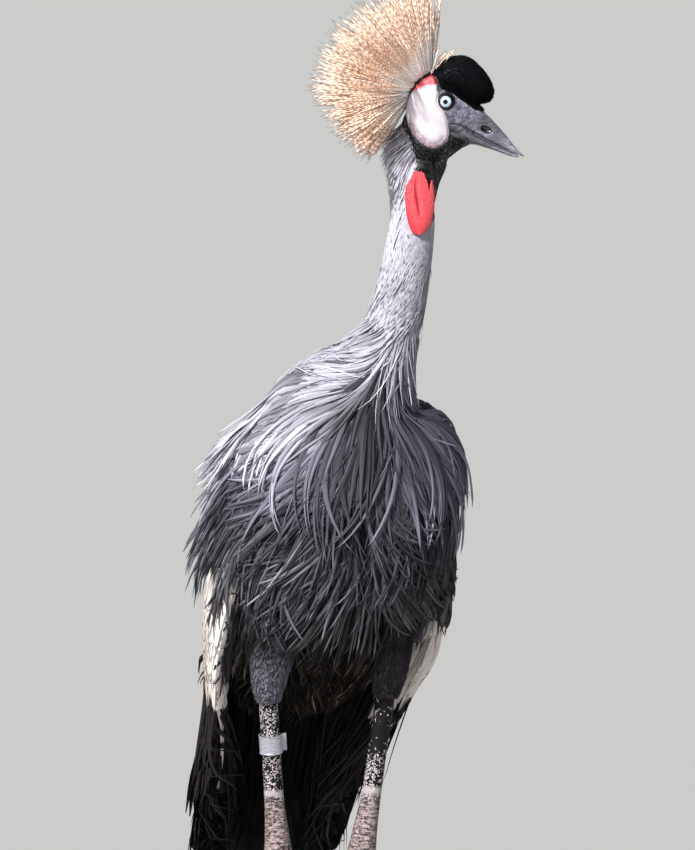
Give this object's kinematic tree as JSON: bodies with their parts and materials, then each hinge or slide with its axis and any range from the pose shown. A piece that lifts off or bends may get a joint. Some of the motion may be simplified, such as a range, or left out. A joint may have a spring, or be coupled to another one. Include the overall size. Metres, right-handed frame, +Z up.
{
  "type": "grey crowned crane",
  "caption": "Life-size grey crowned crane standing alert on both feet, head turned to its left, with bristle crown, red wattle, loose breast plumes, folded pale wings and a leg band.",
  "frame": {"origin": "on the floor, below the middle of the whole bird's box", "axes": "+Z up; the bird's chest faces -Y, turned 18 degrees to its own left, and its bill points to +X and a little to -Y"},
  "size_m": [0.3304, 0.437, 1.076],
  "materials": {
    "face": "black to slate bare skin and short velvet",
    "bill": "smooth dark horn, satin",
    "cap": "deep black velvet of short plumes",
    "cheek": "bare white skin, red along its top edge, satin",
    "eye": "pale blue iris, black pupil, wet gloss",
    "crest": "stiff straw-gold bristles with pale bases and black tips",
    "wattle": "bare red skin, finely wrinkled, satin",
    "neck_plumage": "short soft pale grey plumage",
    "body_plumage": "long loose slate-grey plumes",
    "wing_plumage": "creamy white coverts, chestnut inner feathers, black outer ones",
    "tail_plumage": "stiff black tail feathers",
    "leg_skin": "dark scaly skin with pale mottling",
    "claw": "dark horn, satin",
    "band": "satin metal, lightly scuffed"
  },
  "bodies": {
    "root": {"head": "face", "bill_upper": "bill", "bill_lower": "bill", "cap": "cap", "cheek_left": "cheek", "cheek_right": "cheek", "eye_left": "eye", "eye_right": "eye", "crest": "crest", "wattle": "wattle", "neck": "neck_plumage", "torso": "body_plumage", "wing_left": "wing_plumage", "wing_right": "wing_plumage", "tail": "tail_plumage", "thigh_left": "body_plumage", "thigh_right": "body_plumage", "shank_left": "leg_skin", "shank_right": "leg_skin", "tarsus_left": "leg_skin", "tarsus_right": "leg_skin", "foot_left": "leg_skin", "foot_right": "leg_skin", "claw_inner_left": "claw", "claw_middle_left": "claw", "claw_outer_left": "claw", "claw_hind_left": "claw", "claw_inner_right": "claw", "claw_middle_right": "claw", "claw_outer_right": "claw", "claw_hind_right": "claw", "leg_band": "band"}
  },
  "joints": []
}
